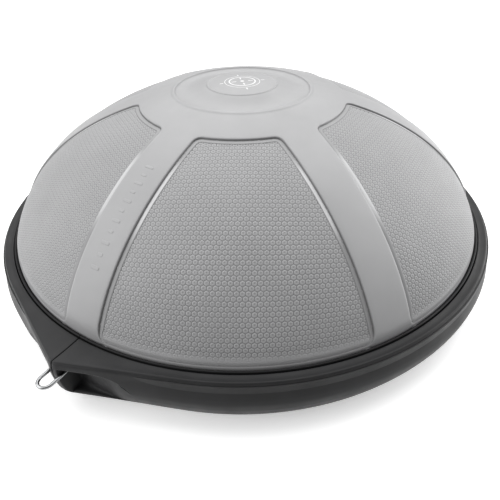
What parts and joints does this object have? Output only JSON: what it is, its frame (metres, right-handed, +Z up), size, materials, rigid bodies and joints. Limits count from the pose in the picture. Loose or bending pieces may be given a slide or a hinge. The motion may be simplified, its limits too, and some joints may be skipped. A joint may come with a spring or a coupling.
{
  "type": "balance dome trainer",
  "caption": "Air-filled rubber balance dome clamped to a rigid base plate, with a two-piece rim whose noses carry finger pockets and swinging wire band links.",
  "frame": {"origin": "on the floor under the middle of the dome, at the bottom centre of the whole trainer", "axes": "+Z up from the floor; +X from nose a to nose b, along the seam plane; +Y towards the rear rim half"},
  "size_m": [0.7072, 0.6332, 0.2225],
  "materials": {
    "dome_rubber": "satin grey rubber with fine hexagon tiles on six panels and plain bands between them",
    "floor_rubber": "matt grey rubber sheet",
    "seat_rubber": "black rubber grommet",
    "plug_rubber": "black rubber plug",
    "base_plastic": "black moulded plastic with a fine spark texture",
    "clamp_plastic": "dark grey moulded plastic",
    "rim_plastic": "charcoal moulded plastic with a soft satin sheen",
    "foot_rubber": "black non-slip rubber",
    "link_steel": "bright plated steel wire",
    "bush_steel": "turned steel sleeve",
    "screw_steel": "zinc plated steel"
  },
  "bodies": {
    "trainer": {"dome_skin": "dome_rubber", "bladder_floor": "floor_rubber", "valve_seat": "seat_rubber", "base_plate": "base_plastic", "foot_pad_01": "foot_rubber", "foot_pad_02": "foot_rubber", "foot_pad_03": "foot_rubber", "foot_pad_04": "foot_rubber", "foot_pad_05": "foot_rubber", "foot_pad_06": "foot_rubber", "foot_pad_07": "foot_rubber", "foot_pad_08": "foot_rubber", "clamp_screw_01": "screw_steel", "clamp_screw_02": "screw_steel", "clamp_screw_03": "screw_steel", "clamp_screw_04": "screw_steel", "clamp_screw_05": "screw_steel", "clamp_screw_06": "screw_steel", "clamp_screw_07": "screw_steel", "clamp_screw_08": "screw_steel", "clamp_screw_09": "screw_steel", "clamp_screw_10": "screw_steel", "clamp_screw_11": "screw_steel", "clamp_screw_12": "screw_steel", "clamp_ring_front": "clamp_plastic", "clamp_ring_rear": "clamp_plastic", "rim_half_front": "rim_plastic", "rim_half_rear": "rim_plastic", "rim_screw_01": "screw_steel", "rim_screw_02": "screw_steel", "rim_screw_03": "screw_steel", "rim_screw_04": "screw_steel", "rim_screw_05": "screw_steel", "rim_screw_06": "screw_steel", "rim_screw_07": "screw_steel", "rim_screw_08": "screw_steel", "rim_screw_09": "screw_steel", "rim_screw_10": "screw_steel", "rim_screw_11": "screw_steel", "rim_screw_12": "screw_steel", "link_bush_a": "bush_steel", "link_bush_b": "bush_steel"},
    "valve_plug": {"valve_plug": "plug_rubber"},
    "link_a": {"anchor_link_a": "link_steel"},
    "link_b": {"anchor_link_b": "link_steel"}
  },
  "joints": [
    {"name": "link_a_pivot", "type": "hinge", "parent": "trainer", "child": "link_a", "pos_m": [-0.32288, 0, 0.0485], "axis": [0, 1, 0], "range_deg": [-55, 28]},
    {"name": "link_b_pivot", "type": "hinge", "parent": "trainer", "child": "link_b", "pos_m": [0.32288, 0, 0.0485], "axis": [0, -1, 0], "range_deg": [-55, 28]},
    {"name": "valve_plug_slide", "type": "slide", "parent": "trainer", "child": "valve_plug", "axis": [0, 0, -1], "range_m": [0, 0.018]}
  ]
}
